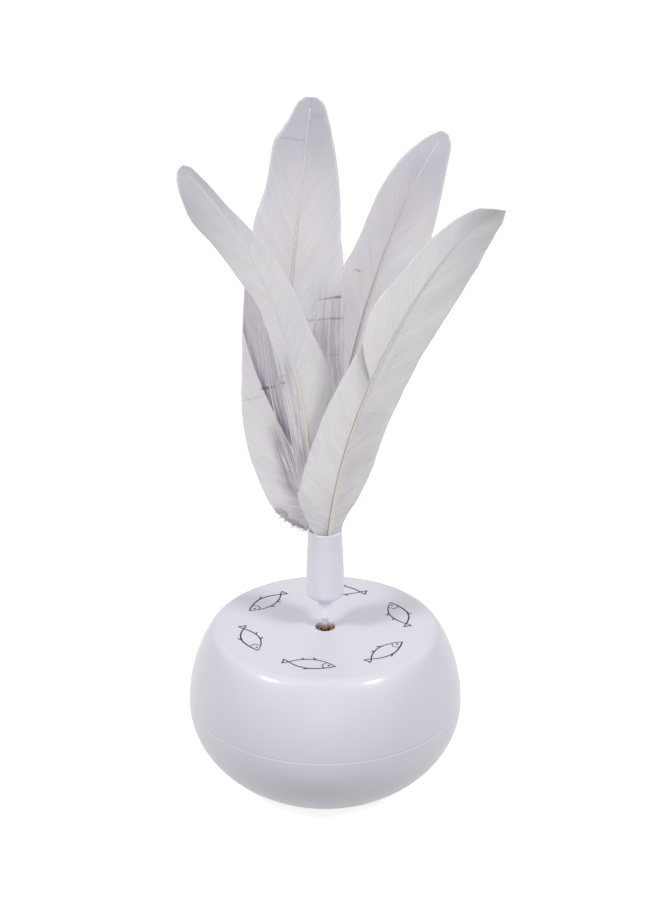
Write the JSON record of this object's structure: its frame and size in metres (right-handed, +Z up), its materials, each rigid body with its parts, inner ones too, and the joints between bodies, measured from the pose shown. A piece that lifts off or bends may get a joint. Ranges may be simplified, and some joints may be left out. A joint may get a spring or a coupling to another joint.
{
  "type": "rotating feather cat toy",
  "caption": "Battery cat toy: a rounded white base with a motor and gearbox turns an upright wand whose sleeve holds a spray of long feathers.",
  "frame": {"origin": "on the turning axis, at the plane that the toy stands on, in the middle of the round pad under the battery door", "axes": "+Z up along the spindle, -Y the front as pictured, +X to the viewer's right"},
  "size_m": [0.1063, 0.096, 0.2507],
  "materials": {
    "shell_plastic": "glossy white with a cool tint",
    "wand_plastic": "satin white",
    "rod_plastic": "slightly translucent white",
    "plug_plastic": "matte off-white",
    "feather": "soft translucent vane, grey-lavender",
    "bronze": "turned bronze",
    "steel": "turned steel",
    "screw_steel": "zinc plated",
    "contact_metal": "nickel plated strip",
    "gear_nylon": "natural nylon",
    "plate_plastic": "moulded dark grey",
    "motor_steel": "drawn steel can",
    "motor_plastic": "black moulding",
    "ferrite": "dull ferrite",
    "cell_wrap": "plain foil wrap",
    "switch_plastic": "black moulding",
    "foot_rubber": "soft grey rubber",
    "wire_red": "red insulation",
    "wire_black": "black insulation"
  },
  "bodies": {
    "base": {"upper_shell": "shell_plastic", "lower_shell": "shell_plastic", "rubber_feet": "foot_rubber", "shell_screws": "screw_steel", "battery_cells": "cell_wrap", "contact_plates": "contact_metal", "contact_springs": "contact_metal", "switch_housing": "switch_plastic", "switch_terminals": "contact_metal", "gearbox_lower_plate": "plate_plastic", "gearbox_upper_plate": "plate_plastic", "gearbox_screws": "screw_steel", "gear_axles": "steel", "motor_can": "motor_steel", "motor_end_cap": "motor_plastic", "motor_magnet": "ferrite", "motor_terminals": "contact_metal", "motor_screws": "screw_steel", "top_bush": "bronze", "wire_battery_to_switch": "wire_red", "wire_switch_to_motor": "wire_red", "wire_battery_to_motor": "wire_black"},
    "battery_cover": {"battery_door": "shell_plastic", "door_screw": "screw_steel", "anti_slip_pad": "foot_rubber"},
    "switch_slider": {"switch_knob": "switch_plastic"},
    "output_drive": {"spindle": "steel", "output_gear": "gear_nylon", "spindle_collar": "bronze"},
    "second_reduction": {"second_gear": "gear_nylon"},
    "first_reduction": {"first_gear": "gear_nylon"},
    "motor_rotor": {"motor_shaft": "steel", "motor_armature": "motor_steel", "motor_pinion": "gear_nylon"},
    "feather_head": {"feather_rod": "rod_plastic", "feather_sleeve": "wand_plastic", "quill_plug": "plug_plastic", "feather_front_right": "feather", "feather_front_left": "feather", "feather_tall": "feather", "feather_rear_right": "feather", "feather_rear_left": "feather"}
  },
  "joints": [
    {"name": "feather_spin", "type": "hinge", "parent": "base", "child": "output_drive", "pos_m": [0, 0, 0.05], "axis": [0, 0, 1], "continuous": true},
    {"name": "second_gear_spin", "type": "hinge", "parent": "base", "child": "second_reduction", "pos_m": [0.0125, 0, 0.038], "axis": [0, 0, 1], "continuous": true},
    {"name": "first_gear_spin", "type": "hinge", "parent": "base", "child": "first_reduction", "pos_m": [0.01033, 0.01231, 0.038], "axis": [0, 0, 1], "continuous": true},
    {"name": "motor_spin", "type": "hinge", "parent": "base", "child": "motor_rotor", "pos_m": [-0.00198, 0.01448, 0.03], "axis": [0, 0, 1], "continuous": true},
    {"name": "feather_pull", "type": "slide", "parent": "output_drive", "child": "feather_head", "axis": [0, 0, 1], "range_m": [0, 0.0083]},
    {"name": "switch_slide", "type": "slide", "parent": "base", "child": "switch_slider", "axis": [0, 1, 0], "range_m": [0, 0.003]},
    {"name": "battery_door_release", "type": "slide", "parent": "base", "child": "battery_cover", "axis": [0, 0, -1], "range_m": [0, 0.012]}
  ],
  "couplings": [
    {"joint": "second_gear_spin", "follows": "feather_spin", "ratio": -4},
    {"joint": "first_gear_spin", "follows": "feather_spin", "ratio": 16},
    {"joint": "motor_spin", "follows": "feather_spin", "ratio": -64}
  ]
}
